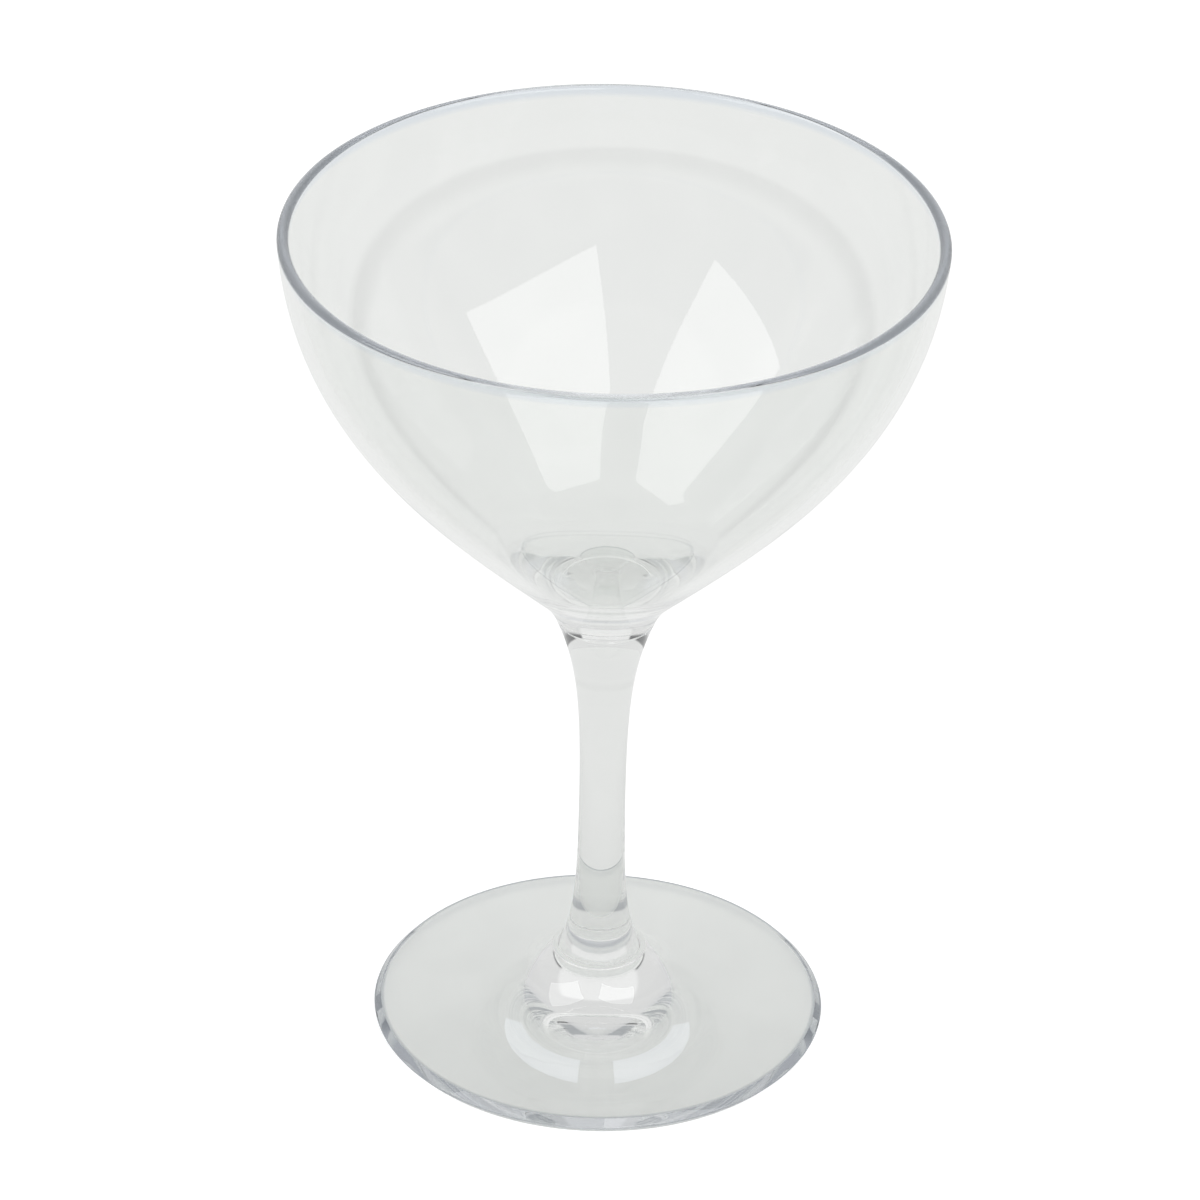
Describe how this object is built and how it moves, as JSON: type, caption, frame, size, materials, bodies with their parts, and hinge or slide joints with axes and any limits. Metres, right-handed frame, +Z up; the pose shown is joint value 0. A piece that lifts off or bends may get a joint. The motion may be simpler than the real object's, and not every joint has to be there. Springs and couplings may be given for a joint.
{
  "type": "martini glass",
  "caption": "Stemmed cocktail glass of clear moulded plastic: a thin round-sided bowl on a slim waisted stem with a flat round foot, for serving mixed drinks.",
  "frame": {"origin": "centre of the foot's flat underside, on the table", "axes": "+Z up along the axis of the bowl, stem and foot; X and Y are alike, because every piece is turned about Z"},
  "size_m": [0.112, 0.112, 0.1547],
  "materials": {
    "clear_plastic": "polished, see-through"
  },
  "bodies": {
    "root": {"bowl": "clear_plastic", "stem": "clear_plastic", "foot": "clear_plastic"}
  },
  "joints": []
}
